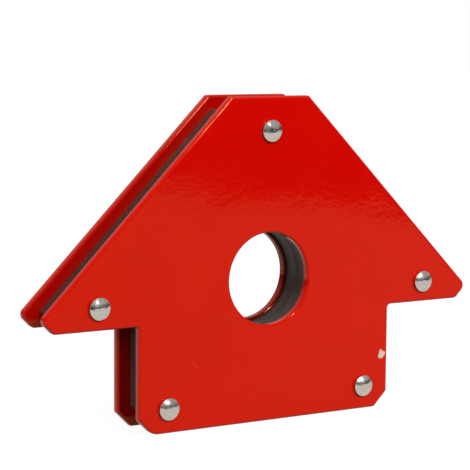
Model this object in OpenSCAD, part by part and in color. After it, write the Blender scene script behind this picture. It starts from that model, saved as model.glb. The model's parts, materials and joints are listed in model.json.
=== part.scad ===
// Magnetic welding holder, arrow pattern: two steel plates riveted over a
// moulded core that holds ferrite block magnets. The slants hold work at 45
// degrees, the stem and the undersides of the wings hold it at 90 degrees.
// Frame: X across the wings, Z up, Y through the thickness with the front at
// -Y. The origin is on the bottom edge, at mid width and mid thickness.

/* [Plates] */
// Height from the bottom edge to the flat top
plate_h = 102; // [100:0.5:104]
// Thickness of each steel plate
plate_t = 3; // [2:0.5:4]
// Width of the flat top
top_w = 28.6; // [26:0.2:31]
// Width of the stem below the wings
stem_w = 92.4; // [91:0.2:94]
// Height of the underside of the wings
shoulder_z = 33.5; // [32.6:0.1:34.4]
// Height of the wing tips, where the slant meets the tip chamfer
tip_z = 37.7; // [36.5:0.1:39]
// Size of the chamfers at the foot of the stem
foot_chamfer = 4.85; // [3:0.05:5]
// Radius of the plate's rounded corners
corner_r = 1.2; // [0.4:0.1:1.5]
// Radius of the rounder corners at the wing tips
tip_r = 2.2; // [1:0.1:2.8]

/* [Centre hole] */
// Radius of the hole through the plates
hole_r = 14.5; // [12:0.5:16]
// Height of the hole's centre
hole_z = 45.1; // [44.5:0.05:46.5]
// How much wider the core's hole is than the plates' hole, on the radius
hub_step = 1; // [0.5:0.1:2]

/* [Core] */
// Thickness of the core, which is the gap between the plates
core_t = 11; // [8:0.5:14]
// Distance from the plate's edge in to the core's edge, on all but the slants
core_inset = 4.4; // [4:0.1:4.6]
// Distance from the plate's edge in to the core's edge, on the slants
slant_inset = 3.8; // [2.8:0.1:4]
// Thickness of the core's outer wall
core_wall = 2.5; // [2:0.1:2.8]
// Radius of the core's rounded corners
core_corner_r = 0.5; // [0.2:0.1:1]
// Radius of the bosses around the rivets
boss_r = 4.5; // [4.2:0.1:4.8]

/* [Magnets] */
// Length of a slant magnet, along the slant
slant_magnet_l = 25; // [20:0.5:25.5]
// Width of a slant magnet, square to the slant
slant_magnet_w = 18; // [14:0.5:19]
// Width of a side magnet
side_magnet_w = 16; // [12:0.5:16]
// Height of a side magnet
side_magnet_h = 23; // [18:0.5:24]
// Width of a base magnet
base_magnet_w = 20; // [16:0.5:20]
// Height of a base magnet
base_magnet_h = 16; // [12:0.5:18]
// Clearance around each magnet in its pocket
pocket_gap = 0.2; // [0.1:0.05:0.3]
// Rib between neighbouring pockets
rib = 1.4; // [1:0.1:1.6]

/* [Rivets] */
// Radius of the rivet shank
shank_r = 2; // [1.8:0.1:2.2]
// Radius of the domed head
head_r = 3.5; // [3:0.1:4]
// Height of the domed head
head_h = 2.1; // [1.5:0.1:2.4]
// Straight rim at the edge of the domed head
head_rim = 0.8; // [0.2:0.05:1]
// Radius of the rolled clinch at the back
clinch_r = 3.2; // [2.8:0.1:3.6]
// Depth of the hollow in the clinched end
hollow_depth = 5; // [3:0.5:8]
// Clearance around the shank, on the radius
shank_gap = 0.1; // [0.05:0.05:0.2]
// Outer radius of the spacer sleeves
sleeve_r = 3.2; // [2.8:0.1:3.4]
// Clearance around each sleeve in the core, on the radius
sleeve_gap = 0.1; // [0.05:0.05:0.2]
// Height of the top rivet
top_rivet_z = 91.3; // [89:0.1:92]
// Distance of the wing rivets from the middle
wing_rivet_x = 59.8; // [58.5:0.1:61]
// Height of the wing rivets
wing_rivet_z = 40.3; // [39.5:0.1:41]
// Distance of the foot rivets from the middle
foot_rivet_x = 36.2; // [35:0.1:36.5]
// Height of the foot rivets
foot_rivet_z = 7.7; // [7.2:0.1:8.5]

/* [Hidden] */
$fn = 96;

RED_PAINT = "#c8140c";
DARK_PLASTIC = "#38332f";
FERRITE = "#4a4b4d";
NICKEL = "#cfccc6";
ZINC = "#b3b6b8";

LEFT = -1;
RIGHT = 1;
ROOT2 = sqrt(2);
CORNER_STEPS = 6;
DOME_STEPS = 8;
ROLL_STEPS = 12;

// Each slant lies on x + z = slant_sum, each tip chamfer on x - z = tip_diff.
slant_sum = top_w / 2 + plate_h;
tip_diff = slant_sum - 2 * tip_z;
half_t = core_t / 2 + plate_t;
tip_round = min(tip_r, 0.95 * (tip_z - shoulder_z));

// Places of the rivets, as [x, z].
top_at = [0, top_rivet_z];
function wing_at(side) = [side * wing_rivet_x, wing_rivet_z];
function foot_at(side) = [side * foot_rivet_x, foot_rivet_z];
rivets_at = [top_at, wing_at(LEFT), wing_at(RIGHT), foot_at(LEFT), foot_at(RIGHT)];

// An arc of radius r in place of corner b, between its neighbours a and c.
function unit(v) = v / norm(v);
function corner_arc(a, b, c, r) =
    let (u = unit(a - b), v = unit(c - b), half = acos(u * v) / 2,
        centre = b + unit(u + v) * r / sin(half),
        start = b + u * r / tan(half) - centre,
        turn = sign(cross(b - a, c - b)) * (180 - 2 * half),
        from = atan2(start.y, start.x))
    [for (i = [0:CORNER_STEPS])
        let (angle = from + turn * i / CORNER_STEPS)
        centre + r * [cos(angle), sin(angle)]];

// The whole outline with rounded corners, from its right half, listed upwards.
function rounded_outline(right, radii) =
    let (m = len(right), n = 2 * m,
        all = concat(right, [for (i = [m - 1:-1:0]) [-right[i].x, right[i].y]]))
    [for (i = [0:n - 1])
        each corner_arc(all[(i + n - 1) % n], all[i], all[(i + 1) % n],
            radii[min(i, n - 1 - i)])];

// Right half of the plate's outline, from the foot up to the flat top.
plate_right = [
    [stem_w / 2 - foot_chamfer, 0],
    [stem_w / 2, foot_chamfer],
    [stem_w / 2, shoulder_z],
    [tip_diff + shoulder_z, shoulder_z],
    [slant_sum - tip_z, tip_z],
    [top_w / 2, plate_h]];
plate_radii = [corner_r, corner_r, corner_r, tip_round, tip_round, corner_r];

// The core follows the plate's outline inside it, but its wings run out to a
// point instead of a tip chamfer.
core_stem_x = stem_w / 2 - core_inset;
core_shoulder_z = shoulder_z + core_inset;
core_top_z = plate_h - core_inset;
core_slant_sum = slant_sum - slant_inset * ROOT2;
core_chamfer = foot_chamfer - core_inset * (2 - ROOT2);
core_right = [
    [core_stem_x - core_chamfer, core_inset],
    [core_stem_x, core_inset + core_chamfer],
    [core_stem_x, core_shoulder_z],
    [core_slant_sum - core_shoulder_z, core_shoulder_z],
    [core_slant_sum - core_top_z, core_top_z]];
core_radii = [for (corner = core_right) core_corner_r];

// Slant coordinates: p is the distance from the origin square to the slant,
// and s runs down the slant. The lower pocket ends a wall above the shoulder.
function slant_point(side, p, s) = [side * (p + s) / ROOT2, (p - s) / ROOT2];
slant_outer_p = core_slant_sum / ROOT2 - core_wall - pocket_gap;
slant_inner_p = slant_outer_p - slant_magnet_w;
slant_mid_p = (slant_outer_p + slant_inner_p) / 2;
slant_end_s = slant_inner_p - 2 * pocket_gap - (core_shoulder_z + core_wall) * ROOT2;
slant_pitch = slant_magnet_l + rib + 2 * pocket_gap;
function lower_slant_at(side) =
    slant_point(side, slant_mid_p, slant_end_s - slant_magnet_l / 2);
function upper_slant_at(side) =
    slant_point(side, slant_mid_p, slant_end_s - slant_magnet_l / 2 - slant_pitch);
slant_size = [slant_magnet_l, slant_magnet_w];

// The side magnets stand on the foot bosses, against the stem's outer wall.
side_size = [side_magnet_w, side_magnet_h];
function side_at(side) = [
    side * (core_stem_x - core_wall - pocket_gap - side_magnet_w / 2),
    foot_rivet_z + boss_r + rib + pocket_gap + side_magnet_h / 2];

// The base magnets lie on the bottom wall, either side of a middle rib.
base_size = [base_magnet_w, base_magnet_h];
function base_at(side) = [
    side * (rib / 2 + pocket_gap + base_magnet_w / 2),
    core_inset + core_wall + pocket_gap + base_magnet_h / 2];

// Stands a flat shape up in the XZ plane, thick towards +Y from y_front.
module slab(y_front, thick) {
    translate([0, y_front + thick, 0])
        rotate([90, 0, 0])
            linear_extrude(thick) children();
}

module rivet_holes(r) {
    for (at = rivets_at)
        translate(at) circle(r);
}

module plate_shape() {
    difference() {
        polygon(rounded_outline(plate_right, plate_radii));
        translate([0, hole_z]) circle(hole_r);
        rivet_holes(shank_r + shank_gap);
    }
}

module front_plate() {
    color(RED_PAINT) slab(-half_t, plate_t) plate_shape();
}

module back_plate() {
    color(RED_PAINT) slab(half_t - plate_t, plate_t) plate_shape();
}

// A block seen from the front; side turns its long edge along that slant.
module block(at, size, slant = 0) {
    translate(at) rotate(-45 * slant) square(size, center = true);
}

module pocket(at, size, slant = 0) {
    block(at, size + 2 * pocket_gap * [1, 1], slant);
}

module pockets(side) {
    pocket(lower_slant_at(side), slant_size, side);
    pocket(upper_slant_at(side), slant_size, side);
    pocket(side_at(side), side_size);
    pocket(base_at(side), base_size);
}

module core_frame() {
    color(DARK_PLASTIC)
        slab(-core_t / 2, core_t)
            difference() {
                union() {
                    polygon(rounded_outline(core_right, core_radii));
                    rivet_holes(boss_r);
                }
                translate([0, hole_z]) circle(hole_r + hub_step);
                rivet_holes(sleeve_r + sleeve_gap);
                pockets(LEFT);
                pockets(RIGHT);
            }
}

module magnet(at, size, slant = 0) {
    color(FERRITE) slab(-core_t / 2, core_t) block(at, size, slant);
}

// Points of an arc about a centre, from one angle to another.
function arc(centre, r, from, to, steps) = [for (i = [0:steps])
    let (angle = from + (to - from) * i / steps)
    centre + r * [cos(angle), sin(angle)]];

// The rivet's section, as [radius, height]: a domed head over the front
// plate, the shank, and a hollow end rolled out over the back plate.
dome_h = head_h - head_rim;
dome_r = (head_r * head_r + dome_h * dome_h) / (2 * dome_h);
dome_centre = [0, half_t + head_h - dome_r];
dome_edge = acos(head_r / dome_r);
roll_r = head_h / 2;
roll_centre = [clinch_r - roll_r, -half_t - roll_r];
rivet_section = concat(
    [[0, -half_t + hollow_depth + roll_centre.x - roll_r],
        [roll_centre.x - roll_r, -half_t + hollow_depth]],
    arc(roll_centre, roll_r, -180, 0, ROLL_STEPS),
    [[clinch_r, -half_t], [shank_r, -half_t], [shank_r, half_t], [head_r, half_t]],
    arc(dome_centre, dome_r, dome_edge, 90, DOME_STEPS));

module rivet(at) {
    color(NICKEL)
        translate([at.x, 0, at.y])
            rotate([90, 0, 0])
                rotate_extrude() polygon(rivet_section);
}

module sleeve(at) {
    color(ZINC)
        slab(-core_t / 2, core_t)
            translate(at)
                difference() {
                    circle(sleeve_r);
                    circle(shank_r + shank_gap);
                }
}

front_plate();
back_plate();
core_frame();
magnet(upper_slant_at(LEFT), slant_size, LEFT);  // left_upper_slant_magnet
magnet(lower_slant_at(LEFT), slant_size, LEFT);  // left_lower_slant_magnet
magnet(upper_slant_at(RIGHT), slant_size, RIGHT);  // right_upper_slant_magnet
magnet(lower_slant_at(RIGHT), slant_size, RIGHT);  // right_lower_slant_magnet
magnet(side_at(LEFT), side_size);  // left_side_magnet
magnet(side_at(RIGHT), side_size);  // right_side_magnet
magnet(base_at(LEFT), base_size);  // left_base_magnet
magnet(base_at(RIGHT), base_size);  // right_base_magnet
rivet(top_at);  // top_rivet
rivet(wing_at(LEFT));  // left_wing_rivet
rivet(wing_at(RIGHT));  // right_wing_rivet
rivet(foot_at(LEFT));  // left_foot_rivet
rivet(foot_at(RIGHT));  // right_foot_rivet
sleeve(top_at);  // top_sleeve
sleeve(wing_at(LEFT));  // left_wing_sleeve
sleeve(wing_at(RIGHT));  // right_wing_sleeve
sleeve(foot_at(LEFT));  // left_foot_sleeve
sleeve(foot_at(RIGHT));  // right_foot_sleeve
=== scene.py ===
"""Looks of the magnetic welding holder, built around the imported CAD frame.

Every piece is rebuilt at the CAD's sizes with the small radii that paint, moulding, grinding and
riveting leave, and gets a procedural material. Metres, +Z up, front at -Y.
"""

import json
import math

import bmesh
import bpy
from mathutils import Matrix, Vector


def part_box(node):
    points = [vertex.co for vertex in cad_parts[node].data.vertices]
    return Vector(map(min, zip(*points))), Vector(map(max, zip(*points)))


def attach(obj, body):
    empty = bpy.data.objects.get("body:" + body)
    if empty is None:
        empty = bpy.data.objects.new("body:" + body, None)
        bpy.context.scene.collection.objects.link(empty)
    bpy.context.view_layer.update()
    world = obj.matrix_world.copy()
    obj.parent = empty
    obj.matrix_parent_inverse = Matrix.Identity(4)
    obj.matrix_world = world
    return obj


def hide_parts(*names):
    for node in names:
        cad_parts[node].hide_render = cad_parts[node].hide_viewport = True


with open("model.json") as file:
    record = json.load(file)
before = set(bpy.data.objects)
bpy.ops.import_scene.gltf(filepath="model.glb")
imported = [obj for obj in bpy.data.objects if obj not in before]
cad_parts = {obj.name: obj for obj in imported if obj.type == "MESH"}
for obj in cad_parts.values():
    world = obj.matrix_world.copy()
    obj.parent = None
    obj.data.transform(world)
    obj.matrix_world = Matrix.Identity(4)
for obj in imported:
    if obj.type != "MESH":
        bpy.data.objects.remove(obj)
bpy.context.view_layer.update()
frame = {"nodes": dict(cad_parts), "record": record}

MM = 0.001
MOUNTS = {m["name"]: m for m in frame["record"]["mounts"]}
MAGNETS = [name for name in frame["nodes"] if name.endswith("_magnet")]
PLACES = ("top", "left_wing", "right_wing", "left_foot", "right_foot")


# ---------------------------------------------------------------- sizes from the frame

def mount_at(name):
    return Vector(MOUNTS[name]["pos_m"])


def centre_of(node_name):
    low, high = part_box(node_name)
    return (low + high) / 2


PLATE_H = mount_at("top_edge").z
STEM_X = mount_at("right_stem_side").x
SHOULDER_Z = mount_at("right_wing_underside").z
SLANT_SUM = mount_at("right_slant").x + mount_at("right_slant").z
HOLE_AT = (0, mount_at("carry_hole").z)
HOLE_R = MOUNTS["carry_hole"]["dims"]["r_mm"] * MM
RIVET_AT = {place: centre_of(place + "_rivet") for place in PLACES}

# The front plate's front face, and how far the inner faces stand from mid thickness.
FACE_Y = -8.5 * MM
INNER_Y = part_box("back_plate")[0].y

# Sizes that the record doesn't state.
TIP_Z = 37.7 * MM
FOOT_CHAMFER = 4.85 * MM
CORNER_R = 1.2 * MM
TIP_R = 2.25 * MM
WORN_FOOT_R = 5.0 * MM
CORE_CORNER_R = 0.5 * MM
SLANT_INSET = 3.8 * MM
HUB_STEP = 1.0 * MM
BOSS_R = 4.5 * MM
SLANT_MAGNET = (25 * MM, 18 * MM)
POCKET_GAP = 0.2 * MM
POCKET_CORNER_R = 0.15 * MM
SHANK_R = 2.0 * MM
SHANK_GAP = 0.1 * MM
HEAD_R = 3.5 * MM
HEAD_H = 2.1 * MM
CLINCH_R = 3.2 * MM
HOLLOW_DEPTH = 5.0 * MM
SLEEVE_R = 3.2 * MM
SLEEVE_GAP = 0.1 * MM
SLEEVE_CHAMFER = 0.25 * MM

# The domed head: its rolled rim, the pip at its middle, and where it meets the plate.
RIM_R = 0.3 * MM
RIM_INSET = 0.35 * MM
RIM_LIFT = 0.85 * MM
RIM_TURN = math.radians(150)
PIP_R = 0.4 * MM
PIP_DEPTH = 0.04 * MM
HEAD_FOOT_INSET = 0.3 * MM

# The clinched end: where its roll meets the plate, and how unevenly it spreads.
CLINCH_FOOT = 0.6
CLINCH_WOBBLE = 0.02

# Radii that paint, moulding and grinding leave on the edges, and the least one at an inset corner.
PAINT_EDGE_R = 0.9 * MM
HOLE_EDGE_R = 0.75 * MM
SHANK_EDGE_R = 0.3 * MM
MOULD_EDGE_R = 0.25 * MM
MAGNET_EDGE_R = 0.35 * MM
LEAST_R = 0.02 * MM

# Inset that shows which way each point of a loop faces.
OUTWARD_STEP = 0.1 * MM

# Marks in the front plate's paint, seen from the front.
CHIP_AT = (STEM_X - 2.4 * MM, FACE_Y, 17.2 * MM)
CHIP_R = 1.35 * MM
CHIP_RAGGED = 0.55 * MM
CHIP_SOFT = 0.1 * MM
CHIP_DEPTH = 0.12 * MM
SCRATCH_AT = (-27 * MM, FACE_Y, 20.5 * MM)
SCRATCH_ANGLE = math.radians(-48)
SCRATCH_HALF_LENGTH = 2.0 * MM
SCRATCH_HALF_WIDTH = 0.22 * MM
SCRATCH_STRENGTH = 0.28

# The core's parting line stands proud at mid thickness.
PARTING_H = 0.05 * MM
PARTING_W = 0.5 * MM

# The punched plates aren't quite flat: height over the face is this times X times Z, per metre.
PLATE_TWIST = 0.25


# ---------------------------------------------------------------- outlines in the XZ plane

def inset_corners(corners, inset):
    """The corners of an outline after each side moves to its left by inset."""
    count = len(corners)
    sides = []
    for i in range(count):
        start, end = corners[i], corners[(i + 1) % count]
        along = (end - start).normalized()
        left = Vector((-along.y, along.x))
        sides.append((start + left * inset, along))
    moved = []
    for i in range(count):
        (p, u), (q, v) = sides[i - 1], sides[i]
        reach = (q - p).cross(v) / u.cross(v)
        moved.append(p + u * reach)
    return moved


def rounded_loop(corners, radii, inset):
    """The outline inset by that much, with its corners rounded about the same centres."""
    moved = inset_corners([Vector(c) for c in corners], inset)
    loop = []
    for i, (corner, radius) in enumerate(zip(moved, radii)):
        before = (moved[i - 1] - corner).normalized()
        after = (moved[(i + 1) % len(moved)] - corner).normalized()
        convex = after.cross(before) > 0
        r = max(radius - inset, LEAST_R) if convex else radius + inset
        half = before.angle(after) / 2
        centre = corner + (before + after).normalized() * (r / math.sin(half))
        start = corner + before * (r / math.tan(half)) - centre
        turn = math.pi - 2 * half
        steps = 8 if turn > math.radians(15) else 1
        for k in range(steps + 1):
            angle = turn * k / steps * (1 if convex else -1)
            loop.append(centre + Matrix.Rotation(angle, 2) @ start)
    return loop


def polygon(corners, radii):
    """A rounded outline that can be asked for at any inset. Clockwise corners make a hole."""
    if not isinstance(radii, list):
        radii = [radii] * len(corners)
    return lambda inset: rounded_loop(corners, radii, inset)


def round_hole(centre, radius, segments=96):
    """A round hole that can be asked for at any inset into the material."""
    angles = [2 * math.pi * k / segments for k in range(segments)]

    def loop(inset):
        r = radius + inset
        return [Vector((centre[0] + r * math.cos(a), centre[1] + r * math.sin(a))) for a in angles]

    return loop


def mirrored(right):
    """A whole outline from its right half, listed upwards."""
    return right + [(-x, z) for x, z in reversed(right)]


def arc_points(centre, radius, start, end, count=10):
    """Points of an arc from one angle to another, in degrees."""
    angles = [math.radians(start + (end - start) * k / count) for k in range(count + 1)]
    return [(centre[0] + radius * math.cos(a), centre[1] + radius * math.sin(a)) for a in angles]


def plate_corners():
    tip_diff = SLANT_SUM - 2 * TIP_Z
    return mirrored([
        (STEM_X - FOOT_CHAMFER, 0),
        (STEM_X, FOOT_CHAMFER),
        (STEM_X, SHOULDER_Z),
        (tip_diff + SHOULDER_Z, SHOULDER_Z),
        (SLANT_SUM - TIP_Z, TIP_Z),
        (SLANT_SUM - PLATE_H, PLATE_H),
    ])


def plate_radii(node_name):
    """Radii of the plate's corners. The front plate's left foot is worn round at the bottom."""
    right = [CORNER_R, CORNER_R, CORNER_R, TIP_R, TIP_R, CORNER_R]
    radii = right + right[::-1]
    if node_name == "front_plate":
        radii[-1] = WORN_FOOT_R
    return radii


def core_corners():
    """The core's outline, with the bosses of the foot and wing rivets standing out below it."""
    top_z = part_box("core_frame")[1].z
    inset = PLATE_H - top_z
    stem_x = STEM_X - inset
    shoulder_z = SHOULDER_Z + inset
    slant_sum = SLANT_SUM - SLANT_INSET * math.sqrt(2)
    chamfer = FOOT_CHAMFER - inset * (2 - math.sqrt(2))
    foot, wing = xz(RIVET_AT["right_foot"]), xz(RIVET_AT["right_wing"])
    foot_dip = math.degrees(math.asin((foot[1] - inset) / BOSS_R))
    wing_dip = math.degrees(math.asin((wing[1] - shoulder_z) / BOSS_R))
    return mirrored(
        arc_points(foot, BOSS_R, foot_dip - 180, -45)
        + [(stem_x, inset + chamfer), (stem_x, shoulder_z)]
        + arc_points(wing, BOSS_R, wing_dip - 180, -wing_dip)
        + [(slant_sum - shoulder_z, shoulder_z), (slant_sum - top_z, top_z)])


def block_corners(node_name, grow=0.0):
    """Corners of a magnet seen from the front. A slant magnet's box doesn't show its sides."""
    low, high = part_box(node_name)
    centre = centre_of(node_name)
    size, angle = (high.x - low.x, high.z - low.z), 0
    if "slant" in node_name:
        size, angle = SLANT_MAGNET, math.radians(45 if centre.x < 0 else -45)
    turn = Matrix.Rotation(angle, 2)
    half_x, half_z = size[0] / 2 + grow, size[1] / 2 + grow
    corners = ((-half_x, -half_z), (half_x, -half_z), (half_x, half_z), (-half_x, half_z))
    return [Vector(xz(centre)) + turn @ Vector(corner) for corner in corners]


def xz(point):
    return (point.x, point.z)


# ---------------------------------------------------------------- mesh builders

def finish_piece(name, mesh, material, node_name):
    piece = bpy.data.objects.new(name, mesh)
    bpy.context.collection.objects.link(piece)
    mesh.materials.append(material)
    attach(piece, "root")
    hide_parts(node_name)
    return piece


def edge_profile(y_front, y_back, edge_r, steps=5, parting=False):
    """Section of a slab's side as (inset, y, how far the normal leans to +Y)."""
    quarter = [math.pi / 2 * k / steps for k in range(steps + 1)]
    front = [(edge_r * (1 - math.sin(a)), y_front + edge_r * (1 - math.cos(a)), -math.cos(a))
             for a in quarter]
    back = [(inset, y_front + y_back - y, -lean) for inset, y, lean in reversed(front)]
    middle = (y_front + y_back) / 2
    half = PARTING_W / 2
    line = [(0, middle - half, -0.3), (-PARTING_H, middle - half / 2, -0.5),
            (-PARTING_H, middle + half / 2, 0.5), (0, middle + half, 0.3)]
    return front + (line if parting else []) + back


def slab_mesh(name, sides):
    """A closed slab from (loop, profile) pairs: each loop is swept and the two faces are filled."""
    bm = bmesh.new()
    normals = []
    faces_to_fill = ([], [])
    for loop, profile in sides:
        outer, inner = loop(0), loop(OUTWARD_STEP)
        outward = [(a - b).normalized() for a, b in zip(outer, inner)]
        rows = []
        for inset, y, lean in profile:
            side = math.sqrt(max(0.0, 1 - lean * lean))
            row = []
            for point, out in zip(loop(inset), outward):
                row.append(bm.verts.new((point.x, y, point.y)))
                normals.append(Vector((out.x * side, lean, out.y * side)))
            rows.append(row)
        for lower, upper in zip(rows, rows[1:]):
            for i in range(len(lower)):
                bm.faces.new((lower[i - 1], lower[i], upper[i], upper[i - 1]))
        for edges, row in zip(faces_to_fill, (rows[0], rows[-1])):
            edges += [bm.edges.get((row[i - 1], row[i])) for i in range(len(row))]
    for edges in faces_to_fill:
        bmesh.ops.triangle_fill(bm, edges=edges, use_beauty=True)
    bmesh.ops.recalc_face_normals(bm, faces=bm.faces)
    mesh = bpy.data.meshes.new(name)
    bm.to_mesh(mesh)
    bm.free()
    mesh.shade_smooth()
    mesh.normals_split_custom_set_from_vertices(normals)
    return mesh


def lathe_mesh(name, section, at, segments=72, wobble=None):
    """Turns a closed section of (radius, y) about the Y axis through at.

    wobble(angle, y) gives a factor on the radius, for a rim that isn't quite round.
    """
    bm = bmesh.new()
    rows = []
    for radius, y in section:
        if radius < 1e-9:
            rows.append([bm.verts.new((at.x, y, at.z))])
            continue
        row = []
        for k in range(segments):
            a = 2 * math.pi * k / segments
            r = radius * (wobble(a, y) if wobble else 1)
            row.append(bm.verts.new((at.x + r * math.cos(a), y, at.z + r * math.sin(a))))
        rows.append(row)
    pairs = list(zip(rows, rows[1:]))
    if len(rows[0]) > 1:
        pairs.append((rows[-1], rows[0]))
    for lower, upper in pairs:
        for k in range(segments):
            quad = [lower[k - 1 if len(lower) > 1 else 0], lower[k if len(lower) > 1 else 0],
                    upper[k if len(upper) > 1 else 0], upper[k - 1 if len(upper) > 1 else 0]]
            bm.faces.new(list(dict.fromkeys(quad)))
    bmesh.ops.recalc_face_normals(bm, faces=bm.faces)
    mesh = bpy.data.meshes.new(name)
    bm.to_mesh(mesh)
    bm.free()
    mesh.shade_smooth()
    mesh.set_sharp_from_angle(angle=math.radians(40))
    return mesh


# ---------------------------------------------------------------- materials

class Surface:
    """A Principled material, with short calls for the procedural nodes that drive it."""

    def __init__(self, name, **sockets):
        self.material = bpy.data.materials.new(name)
        self.material.use_nodes = True
        self.tree = self.material.node_tree
        self.shader = self.tree.nodes["Principled BSDF"]
        for socket, value in sockets.items():
            self.shader.inputs[socket.replace("_", " ")].default_value = value
        self.coords = self.node("ShaderNodeTexCoord").outputs["Object"]

    def node(self, kind, inputs=(), **settings):
        made = self.tree.nodes.new(kind)
        for key, value in settings.items():
            setattr(made, key, value)
        for key, value in dict(inputs).items():
            if isinstance(value, bpy.types.NodeSocket):
                self.tree.links.new(value, made.inputs[key])
            else:
                made.inputs[key].default_value = value
        return made

    def drive(self, socket, value):
        self.tree.links.new(value, self.shader.inputs[socket])

    def place(self, axis):
        """X, Y or Z of the point being shaded."""
        return self.node("ShaderNodeSeparateXYZ", {0: self.coords}).outputs[axis]

    def noise(self, size, detail=2.0, roughness=0.5, stretch=(1, 1, 1)):
        """Noise from 0 to 1 whose blotches are about this many metres across."""
        mapping = self.node("ShaderNodeMapping", {"Vector": self.coords, "Scale": stretch})
        made = self.node("ShaderNodeTexNoise", {
            "Vector": mapping.outputs[0], "Scale": 1 / size,
            "Detail": detail, "Roughness": roughness})
        return made.outputs["Fac"]

    def remap(self, value, low, high, to_low=0.0, to_high=1.0):
        return self.node("ShaderNodeMapRange", {
            "Value": value, "From Min": low, "From Max": high,
            "To Min": to_low, "To Max": to_high}).outputs[0]

    def math(self, operation, a, b=0.0):
        return self.node("ShaderNodeMath", {0: a, 1: b}, operation=operation).outputs[0]

    def times(self, a, b):
        return self.math("MULTIPLY", a, b)

    def blend(self, factor, a, b):
        """Colour a where the factor is 0 and colour b where it is 1."""
        made = self.node("ShaderNodeMix", {"Factor": factor}, data_type="RGBA")
        for socket, value in ((made.inputs[6], a), (made.inputs[7], b)):
            if isinstance(value, bpy.types.NodeSocket):
                self.tree.links.new(value, socket)
            else:
                socket.default_value = (*value, 1)
        return made.outputs[2]

    def bump(self, height, depth, under=None):
        """A bump of that depth in metres for a height of 1, over another bump if there is one."""
        inputs = {"Height": height, "Distance": depth, "Strength": 1.0}
        if under is not None:
            inputs["Normal"] = under
        return self.node("ShaderNodeBump", inputs).outputs[0]

    def spot(self, centre, radius, ragged, soft):
        """1 within radius of a point and 0 outside, with a ragged outline."""
        away = self.node("ShaderNodeVectorMath", {0: self.coords, 1: centre}, operation="DISTANCE")
        jitter = self.remap(self.noise(radius * 0.9, 3), 0.3, 0.7, -ragged, ragged)
        distance = self.math("ADD", away.outputs["Value"], jitter)
        return self.remap(distance, radius + soft, radius - soft)


def red_paint():
    """Glossy powder coat: orange peel, slight clouding, a few specks, a scratch and a chip, with
    painted shade on the plates' inner faces, in the back plate's hole and round the hub.
    """
    paint = Surface("red_paint", Specular_Tint=(1, 0.40, 0.14, 1))
    clouds = paint.remap(paint.noise(22 * MM, 3), 0.3, 0.7)
    colour = paint.blend(clouds, (0.58, 0.0024, 0.0003), (0.555, 0.0020, 0.0003))
    cells = paint.node("ShaderNodeTexVoronoi", {"Vector": paint.coords, "Scale": 1 / (9 * MM)})
    speck = paint.remap(cells.outputs["Distance"], 0.030, 0.018)
    picked = paint.node("ShaderNodeSeparateColor", {"Color": cells.outputs["Color"]}).outputs[0]
    speck = paint.times(speck, paint.remap(picked, 0.80, 0.82))
    colour = paint.blend(speck, colour, (0.25, 0.0015, 0.0008))
    # Painted shade: the paint is darker on the plates' inner faces and in the back plate's hole.
    colour = paint.blend(inner_painted_shade(paint), colour, (0.37, 0.0016, 0.0003))
    # Painted shadow: a near-black ring on the plates' inner faces round the hole, at the step at
    # the core.
    colour = paint.blend(hub_painted_shade(paint), colour, (0.07, 0.003, 0.001))
    mark = paint.times(scratch(paint), SCRATCH_STRENGTH)
    colour = paint.blend(mark, colour, (0.68, 0.11, 0.05))
    chip = paint.spot(CHIP_AT, CHIP_R, CHIP_RAGGED, CHIP_SOFT)
    primer = paint.blend(paint.noise(0.6 * MM, 2), (0.78, 0.62, 0.58), (0.62, 0.36, 0.33))
    paint.drive("Base Color", paint.blend(chip, colour, primer))
    gloss = paint.remap(paint.noise(14 * MM, 4), 0.3, 0.7, 0.055, 0.08)
    paint.drive("Roughness", paint.math("ADD", gloss, paint.times(chip, 0.4)))
    twist = paint.bump(paint.times(paint.place("X"), paint.place("Z")), -PLATE_TWIST)
    warp = paint.bump(paint.noise(30 * MM, 1), 0.20 * MM, twist)
    sag = paint.bump(paint.noise(9 * MM, 2, stretch=(0.5, 1, 1)), 0.03 * MM, warp)
    peel = paint.bump(paint.noise(1.5 * MM, 1.5), 0.018 * MM, sag)
    fine = paint.bump(paint.noise(0.8 * MM, 1), 0.008 * MM, peel)
    raised = paint.bump(speck, 0.02 * MM, fine)
    paint.drive("Normal", paint.bump(chip, -CHIP_DEPTH, raised))
    return paint.material


def hole_distance(paint):
    """Distance from the carry hole's axis."""
    x = paint.place("X")
    z = paint.math("SUBTRACT", paint.place("Z"), HOLE_AT[1])
    return paint.math("POWER", paint.math("ADD", paint.times(x, x), paint.times(z, z)), 0.5)


def near_inner_faces(paint, none_at, full_at):
    """1 on the plates' inner faces, fading to 0 at a depth behind them."""
    depth = paint.math("ABSOLUTE", paint.place("Y"))
    return paint.remap(depth, INNER_Y + none_at, INNER_Y + full_at)


def inner_painted_shade(paint):
    """1 on the plates' inner faces and in the back plate's hole: painted shade, the paint darkened
    where less light reaches between the plates and into the hole.
    """
    inside = near_inner_faces(paint, 0.6 * MM, 0.1 * MM)
    in_hole = paint.remap(hole_distance(paint), HOLE_R + 0.5 * MM, HOLE_R + 0.2 * MM)
    at_back = paint.remap(paint.place("Y"), 0, INNER_Y)
    return paint.math("MAXIMUM", inside, paint.times(in_hole, at_back))


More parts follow.
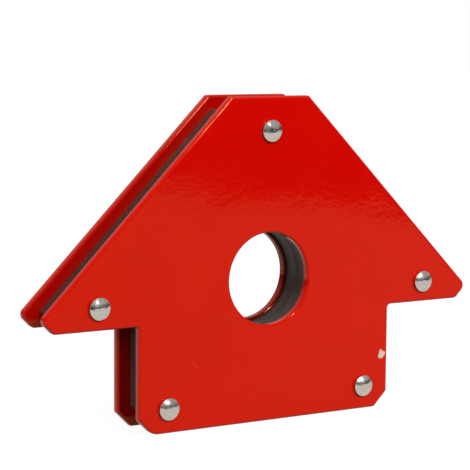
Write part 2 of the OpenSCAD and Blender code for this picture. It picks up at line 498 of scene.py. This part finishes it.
def scratch(paint):
    """1 along a fine scratch in the front face, at its angle from +X towards +Z."""
    turned = paint.node("ShaderNodeVectorRotate", {
        "Vector": paint.coords, "Center": SCRATCH_AT, "Angle": SCRATCH_ANGLE},
        rotation_type="Y_AXIS").outputs[0]
    split = paint.node("ShaderNodeSeparateXYZ", {0: turned}).outputs
    along = paint.math("ABSOLUTE", paint.math("SUBTRACT", split["X"], SCRATCH_AT[0]))
    across = paint.math("ABSOLUTE", paint.math("SUBTRACT", split["Z"], SCRATCH_AT[2]))
    mark = paint.times(paint.remap(along, SCRATCH_HALF_LENGTH, 0.7 * SCRATCH_HALF_LENGTH),
                       paint.remap(across, SCRATCH_HALF_WIDTH, 0.4 * SCRATCH_HALF_WIDTH))
    return paint.times(mark, paint.remap(split["Y"], FACE_Y + 0.6 * MM, FACE_Y + 0.3 * MM))


def hub_painted_shade(paint):
    """1 on the plates' inner faces round the hole: painted shadow, a dark ring for the shade in the
    step at the core.
    """
    radius = hole_distance(paint)
    near = paint.remap(radius, HOLE_R + 0.05 * MM, HOLE_R + 0.25 * MM)
    far = paint.remap(radius, HOLE_R + 2.5 * MM, HOLE_R + 1.5 * MM)
    return paint.times(paint.times(near, near_inner_faces(paint, 0.5 * MM, 0.2 * MM)), far)


def core_plastic():
    """Dark moulded plastic with a fine eroded texture and faint flow streaks."""
    plastic = Surface("core_plastic", Specular_IOR_Level=0.4)
    flow = plastic.noise(5 * MM, 4, 0.6, stretch=(1, 0.25, 1))
    plastic.drive("Base Color", plastic.blend(flow, (0.041, 0.027, 0.021), (0.072, 0.049, 0.038)))
    plastic.drive("Roughness", plastic.remap(plastic.noise(2.5 * MM, 3), 0.3, 0.7, 0.42, 0.58))
    grain = plastic.bump(plastic.noise(0.35 * MM, 3, 0.6), 0.012 * MM)
    plastic.drive("Normal", plastic.bump(flow, 0.08 * MM, grain))
    return plastic.material


def ferrite():
    """Sintered ferrite: grey with dark pits and a ground face."""
    ceramic = Surface("ferrite", Specular_IOR_Level=0.5)
    mottle = ceramic.noise(1.2 * MM, 5, 0.65)
    pits = ceramic.remap(ceramic.noise(0.5 * MM, 2), 0.66, 0.72)
    colour = ceramic.blend(mottle, (0.045, 0.046, 0.050), (0.085, 0.085, 0.088))
    ceramic.drive("Base Color", ceramic.blend(pits, colour, (0.015, 0.015, 0.016)))
    ceramic.drive("Roughness", ceramic.remap(mottle, 0.3, 0.7, 0.45, 0.62))
    ground = ceramic.bump(ceramic.noise(0.8 * MM, 2, stretch=(0.08, 1, 1)), 0.01 * MM)
    ceramic.drive("Normal", ceramic.bump(pits, -0.05 * MM, ground))
    return ceramic.material


def nickel():
    """Bright plated rivet steel with faint smears and the ripple that setting leaves."""
    plate = Surface("rivet_nickel", Metallic=1.0)
    smear = plate.noise(1.6 * MM, 4, 0.6)
    plate.drive("Base Color", plate.blend(smear, (0.50, 0.51, 0.42), (0.74, 0.66, 0.62)))
    plate.drive("Roughness", plate.remap(smear, 0.35, 0.65, 0.13, 0.24))
    ripple = plate.bump(plate.noise(2.6 * MM, 1), 0.22 * MM)
    dents = plate.bump(plate.noise(1.1 * MM, 1), 0.03 * MM, ripple)
    plate.drive("Normal", plate.bump(plate.noise(0.5 * MM, 2), 0.006 * MM, dents))
    return plate.material


def zinc():
    """Turned zinc-plated tube: fine rings from the tool along its length."""
    tube = Surface("sleeve_zinc", Metallic=1.0, Anisotropic=0.3)
    bloom = tube.noise(2 * MM, 4, 0.6)
    tube.drive("Base Color", tube.blend(bloom, (0.48, 0.50, 0.52), (0.64, 0.65, 0.66)))
    tube.drive("Roughness", tube.remap(bloom, 0.3, 0.7, 0.25, 0.4))
    rings = tube.node("ShaderNodeTexWave", {
        "Vector": tube.coords, "Scale": 1 / (3 * MM), "Distortion": 0.6, "Detail": 2.0},
        bands_direction="Y")
    tube.drive("Normal", tube.bump(rings.outputs["Fac"], 0.008 * MM))
    return tube.material


RED_PAINT = red_paint()
CORE_PLASTIC = core_plastic()
FERRITE = ferrite()
NICKEL = nickel()
ZINC = zinc()


# ---------------------------------------------------------------- pieces

def plate(node_name):
    low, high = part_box(node_name)
    painted = edge_profile(low.y, high.y, PAINT_EDGE_R)
    punched = edge_profile(low.y, high.y, HOLE_EDGE_R)
    drilled = edge_profile(low.y, high.y, SHANK_EDGE_R)
    outline = polygon(plate_corners(), plate_radii(node_name))
    sides = [(outline, painted), (round_hole(HOLE_AT, HOLE_R), punched)]
    sides += [(round_hole(xz(at), SHANK_R + SHANK_GAP, 32), drilled) for at in RIVET_AT.values()]
    finish_piece(node_name + "_painted", slab_mesh(node_name, sides),
                 RED_PAINT, node_name)


def core():
    low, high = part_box("core_frame")
    moulded = edge_profile(low.y, high.y, MOULD_EDGE_R)
    parted = edge_profile(low.y, high.y, MOULD_EDGE_R, parting=True)
    sides = [(polygon(core_corners(), CORE_CORNER_R), parted),
             (round_hole(HOLE_AT, HOLE_R + HUB_STEP), parted)]
    sides += [(round_hole(xz(at), SLEEVE_R + SLEEVE_GAP, 48), moulded) for at in RIVET_AT.values()]
    for name in MAGNETS:
        pocket = list(reversed(block_corners(name, POCKET_GAP)))
        sides.append((polygon(pocket, POCKET_CORNER_R), moulded))
    finish_piece("core_frame_moulded", slab_mesh("core_frame", sides),
                 CORE_PLASTIC, "core_frame")


def magnet(node_name):
    low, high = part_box(node_name)
    ground = edge_profile(low.y, high.y, MAGNET_EDGE_R, steps=3)
    mesh = slab_mesh(node_name, [(polygon(block_corners(node_name), MAGNET_EDGE_R), ground)])
    finish_piece(node_name + "_block", mesh, FERRITE, node_name)


def head_section(y_top, dome_steps=24, rim_steps=12):
    """Head from its middle outwards: a centre pip, a low dome and a rolled rim that turns under."""
    rim_at = Vector((HEAD_R - RIM_INSET, y_top + HEAD_H - RIM_LIFT))
    fall = rim_at.y - y_top
    dome_r = (rim_at.x ** 2 + fall ** 2 - RIM_R ** 2) / (2 * (fall - RIM_R))
    dome_end = math.asin(rim_at.x / (dome_r - RIM_R))
    section = []
    for k in range(dome_steps + 1):
        a = dome_end * k / dome_steps
        r = dome_r * math.sin(a)
        dip = PIP_DEPTH * max(0.0, 1 - (r / PIP_R) ** 2)
        section.append((r, y_top + dome_r * (1 - math.cos(a)) + dip))
    for k in range(1, rim_steps + 1):
        a = dome_end + (RIM_TURN - dome_end) * k / rim_steps
        section.append((rim_at.x + RIM_R * math.sin(a), rim_at.y - RIM_R * math.cos(a)))
    return section + [(HEAD_R - HEAD_FOOT_INSET, y_top + HEAD_H)]


def clinch_section(y_back):
    """The far end: a roll over the back plate and a cone-bottomed hollow, outside to middle."""
    roll_r = HEAD_H / 2
    roll_at = CLINCH_R - roll_r
    inner = roll_at - roll_r
    roll = arc_points((roll_at, y_back + roll_r), roll_r, -45, 180, 18)
    return ([(roll_at + CLINCH_FOOT * roll_r, y_back)]
            + [(r, max(y, y_back)) for r, y in roll]
            + [(inner, y_back - HOLLOW_DEPTH), (0, y_back - HOLLOW_DEPTH - inner)])


def rivet(place):
    low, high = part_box(place + "_rivet")
    at = RIVET_AT[place]
    back_y = high.y - HEAD_H
    phase = 2 * math.pi * PLACES.index(place) / len(PLACES)

    def wobble(angle, y):
        """The roll spreads a little unevenly; the head stays round."""
        lobes = 1 + math.sin(3 * angle + phase) * math.cos(angle)
        return 1 - CLINCH_WOBBLE * lobes * (y > back_y)

    shank = [(SHANK_R, low.y + HEAD_H), (SHANK_R, back_y)]
    section = head_section(low.y) + shank + clinch_section(back_y)
    mesh = lathe_mesh(place + "_rivet", section, at, 96, wobble)
    finish_piece(place + "_rivet_set", mesh, NICKEL, place + "_rivet")


def sleeve(place):
    name = place + "_sleeve"
    low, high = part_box(name)
    bore, chamfer = SHANK_R + SHANK_GAP, SLEEVE_CHAMFER
    section = [(bore + chamfer, low.y), (SLEEVE_R - chamfer, low.y), (SLEEVE_R, low.y + chamfer),
               (SLEEVE_R, high.y - chamfer), (SLEEVE_R - chamfer, high.y), (bore + chamfer, high.y),
               (bore, high.y - chamfer), (bore, low.y + chamfer)]
    finish_piece(name + "_tube", lathe_mesh(name, section, RIVET_AT[place]),
                 ZINC, name)


for name in ("front_plate", "back_plate"):
    plate(name)
core()
for name in MAGNETS:
    magnet(name)
for place in PLACES:
    rivet(place)
    sleeve(place)


# ---------------------------------------------------------------- floor, light and camera

FLOOR_FRONT_Y = -0.60
FLOOR_SIZE = (6.0, 3.75)
FLOOR_GLOSS_GLOW = 0.65
# The floor's glow seen by the camera is lower near the holder than far off: a painted contact
# shadow.
FLOOR_SEEN_GLOW = (0.92, 1.0)
FLOOR_PAINTED_SHADOW_REACH = (0.15, 0.6)

# Brightness of the surroundings, where light lands (LIGHT) and where gloss mirrors them (SHINE).
HORIZON_DARK = 0.03
ROOM_SHINE = 0.45
ROOM_LIGHT = (1.8, 3.5)
SIDE_LIGHT = 4.2
CEILING_LIGHT = 0.3
BACKDROP_SHINE = 0.65
BACKDROP_LIGHT = 0.03
BACK_LIGHT = 6.0

# Where each changes into the next, in the X, Y or Z part of the direction looked in.
ROOM_X = (-0.3, 0.3)
SIDE_X = (-0.75, -0.93)
BACK_LIGHT_X = (0.0, 0.4)
LIGHT_TO_BACK_Y = (0.05, 0.3)
SHINE_TO_BACK_Y = (0.0, 0.5)
ROOM_Z = (0.2, 0.4)
SIDE_Z = (0.0, 0.15)
CEILING_Z = (0.42, 0.68)
BACK_LIGHT_Z = (0.3, 0.4)
ROOM_SHINE_Z = (0.05, 0.3)
BACKDROP_SHINE_Z = (0.0, 0.45)

# The camera, fitted to the photograph. Yaw turns it from +Y towards +X.
CAMERA_AT = (-0.29585, -0.46547, 0.12272)
CAMERA_YAW = math.radians(31.77)
CAMERA_PITCH = math.radians(-6.70)
CAMERA_ROLL = math.radians(-0.436)
CAMERA_LENS_MM = 134.94
CAMERA_SENSOR_MM = 36


def floor():
    """A glowing white sheet that ends in front of the holder, so that the dim room shows in the
    gloss; seen dimmer near the holder as painted shadow.
    """
    mesh = bpy.data.meshes.new("floor")
    half_x, depth = FLOOR_SIZE[0] / 2, FLOOR_SIZE[1]
    corners = [(-half_x, FLOOR_FRONT_Y, 0), (half_x, FLOOR_FRONT_Y, 0),
               (half_x, FLOOR_FRONT_Y + depth, 0), (-half_x, FLOOR_FRONT_Y + depth, 0)]
    mesh.from_pydata(corners, [], [(0, 1, 2, 3)])
    plane = bpy.data.objects.new("floor", mesh)
    bpy.context.collection.objects.link(plane)
    sheet = Surface("floor_white", Roughness=0.9, Specular_IOR_Level=0.0,
                    Emission_Color=(1, 1, 1, 1))
    greys = ((0.14, 0.14, 0.14), (0.16, 0.16, 0.16))
    sheet.drive("Base Color", sheet.blend(sheet.noise(50 * MM, 2), *greys))
    path = sheet.node("ShaderNodeLightPath").outputs
    away = sheet.node("ShaderNodeVectorMath", {0: sheet.coords}, operation="LENGTH")
    # Painted shadow: the glow the camera sees rises from near the holder to far away.
    seen_glow_with_painted_shadow = sheet.remap(away.outputs["Value"], *FLOOR_PAINTED_SHADOW_REACH, *FLOOR_SEEN_GLOW)
    glow = sheet.times(path["Is Glossy Ray"], FLOOR_GLOSS_GLOW)
    sheet.drive("Emission Strength", sheet.remap(path["Is Camera Ray"], 0, 1, glow, seen_glow_with_painted_shadow))
    mesh.materials.append(sheet.material)


def studio():
    """White all round for the camera, and something else for what the holder reflects.

    That is a room in front, light above its dark horizon and lightest at the far left, and a dim
    backdrop behind with light low on its right.
    """
    world = bpy.data.worlds.new("studio")
    bpy.context.scene.world = world
    world.use_nodes = True
    tree = world.node_tree

    def fill(socket, value):
        if isinstance(value, bpy.types.NodeSocket):
            tree.links.new(value, socket)
        else:
            socket.default_value = value

    def remap(value, low, high, to_low, to_high):
        made = tree.nodes.new("ShaderNodeMapRange")
        names = ("Value", "From Min", "From Max", "To Min", "To Max")
        for key, number in zip(names, (value, low, high, to_low, to_high)):
            fill(made.inputs[key], number)
        return made.outputs[0]

    coords = tree.nodes.new("ShaderNodeTexCoord")
    split = tree.nodes.new("ShaderNodeSeparateXYZ")
    fill(split.inputs[0], coords.outputs["Generated"])
    x, y, z = (split.outputs[axis] for axis in "XYZ")
    path = tree.nodes.new("ShaderNodeLightPath").outputs
    front_light = remap(z, *ROOM_Z, HORIZON_DARK, remap(x, *ROOM_X, *ROOM_LIGHT))
    side_light = remap(z, *SIDE_Z, HORIZON_DARK, SIDE_LIGHT)
    walls_light = remap(x, *SIDE_X, front_light, side_light)
    room_light = remap(z, *CEILING_Z, walls_light, CEILING_LIGHT)
    low_light = remap(z, *BACK_LIGHT_Z, BACK_LIGHT, BACKDROP_LIGHT)
    back_light = remap(x, *BACK_LIGHT_X, BACKDROP_LIGHT, low_light)
    light = remap(y, *LIGHT_TO_BACK_Y, room_light, back_light)
    room_shine = remap(z, *ROOM_SHINE_Z, HORIZON_DARK, ROOM_SHINE)
    backdrop_shine = remap(z, *BACKDROP_SHINE_Z, BACKDROP_LIGHT, BACKDROP_SHINE)
    shine = remap(y, *SHINE_TO_BACK_Y, room_shine, backdrop_shine)
    unseen = remap(path["Is Glossy Ray"], 0, 1, light, shine)
    background = tree.nodes["Background"]
    background.inputs["Color"].default_value = (1, 1, 1, 1)
    fill(background.inputs["Strength"], remap(path["Is Camera Ray"], 0, 1, unseen, 1.0))


def softbox(name, direction, distance, size, power):
    data = bpy.data.lights.new(name, "AREA")
    data.shape = "RECTANGLE"
    data.size, data.size_y = size
    data.energy = power
    light = bpy.data.objects.new(name, data)
    bpy.context.collection.objects.link(light)
    direction = Vector(direction).normalized()
    light.location = Vector((0, 0, PLATE_H / 2)) + direction * distance
    light.rotation_euler = (-direction).to_track_quat("-Z", "Y").to_euler()


def camera():
    data = bpy.data.cameras.new("camera")
    data.sensor_width = CAMERA_SENSOR_MM
    data.lens = CAMERA_LENS_MM
    eye = bpy.data.objects.new("camera", data)
    bpy.context.collection.objects.link(eye)
    yaw, pitch, roll = CAMERA_YAW, CAMERA_PITCH, CAMERA_ROLL
    level = math.cos(pitch)
    forward = Vector((math.sin(yaw) * level, math.cos(yaw) * level, math.sin(pitch)))
    right = Vector((math.cos(yaw), -math.sin(yaw), 0))
    down = forward.cross(right)
    x_axis = math.cos(roll) * right + math.sin(roll) * down
    y_axis = math.sin(roll) * right - math.cos(roll) * down
    eye.matrix_world = Matrix.Translation(CAMERA_AT) @ Matrix(
        (x_axis, y_axis, -forward)).transposed().to_4x4()
    bpy.context.scene.camera = eye


floor()
studio()
softbox("key", direction=(0.03, -0.83, 0.56), distance=1.3, size=(0.18, 0.24), power=10.5)
softbox("overhead", direction=(0, 0.05, 1), distance=1.2, size=(0.8, 0.8), power=0.8)
camera()
bpy.context.scene.view_settings.view_transform = "Standard"
